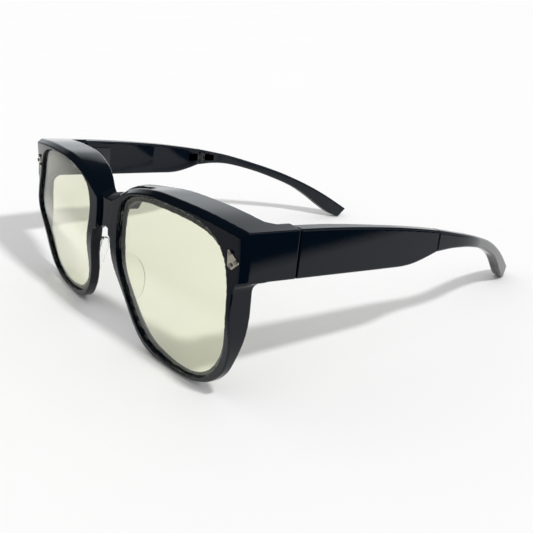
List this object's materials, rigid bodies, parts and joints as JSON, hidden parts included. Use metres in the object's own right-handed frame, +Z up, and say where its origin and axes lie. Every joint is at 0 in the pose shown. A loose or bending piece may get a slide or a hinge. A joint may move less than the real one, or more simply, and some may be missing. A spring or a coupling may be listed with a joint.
{
  "type": "fitover sunglasses",
  "caption": "Fitover sunglasses with a deep brow hood and side shields, tinted lenses, folding temples and small swinging temple tips, standing open on a table.",
  "frame": {"origin": "centre of the bounding box's bottom face, on the table between the rims and the temple tips", "axes": "+X to the wearer's left, +Y back along the temples, +Z up; the front faces -Y"},
  "size_m": [0.148, 0.1434, 0.0535],
  "materials": {
    "frame_black": "polished",
    "tip_black": "satin",
    "lens": "clear pale yellow-green tint",
    "pad_clear": "clear",
    "plaque_metal": "brushed champagne",
    "hinge_steel": "plain"
  },
  "bodies": {
    "front": {"front_frame": "frame_black", "lens_left": "lens", "lens_right": "lens", "nose_pad_left": "pad_clear", "nose_pad_right": "pad_clear", "rivet_plaque_left": "plaque_metal", "rivet_plaque_right": "plaque_metal", "plaque_rivets": "plaque_metal", "front_hinge_leaf_left": "hinge_steel", "front_hinge_leaf_right": "hinge_steel", "hinge_screws": "hinge_steel"},
    "temple_left": {"temple_arm_left": "frame_black", "arm_hinge_leaf_left": "hinge_steel", "tip_hinge_tongue_left": "hinge_steel"},
    "tip_left": {"temple_tip_left": "tip_black", "tip_hinge_fork_left": "hinge_steel", "tip_hinge_pin_left": "hinge_steel"},
    "temple_right": {"temple_arm_right": "frame_black", "arm_hinge_leaf_right": "hinge_steel", "tip_hinge_tongue_right": "hinge_steel"},
    "tip_right": {"temple_tip_right": "tip_black", "tip_hinge_fork_right": "hinge_steel", "tip_hinge_pin_right": "hinge_steel"}
  },
  "joints": [
    {"name": "temple_fold_left", "type": "hinge", "parent": "front", "child": "temple_left", "pos_m": [0.06675, -0.0475, 0.04193], "axis": [0, 0.1417, 0.9899], "range_deg": [0, 82]},
    {"name": "tip_swing_left", "type": "hinge", "parent": "temple_left", "child": "tip_left", "pos_m": [0.0705, 0.007, 0.03402], "axis": [0, 0.1417, 0.9899], "range_deg": [0, 8]},
    {"name": "temple_fold_right", "type": "hinge", "parent": "front", "child": "temple_right", "pos_m": [-0.06675, -0.0475, 0.04193], "axis": [0, -0.1417, -0.9899], "range_deg": [0, 73]},
    {"name": "tip_swing_right", "type": "hinge", "parent": "temple_right", "child": "tip_right", "pos_m": [-0.0705, 0.007, 0.03402], "axis": [0, -0.1417, -0.9899], "range_deg": [0, 8]}
  ]
}
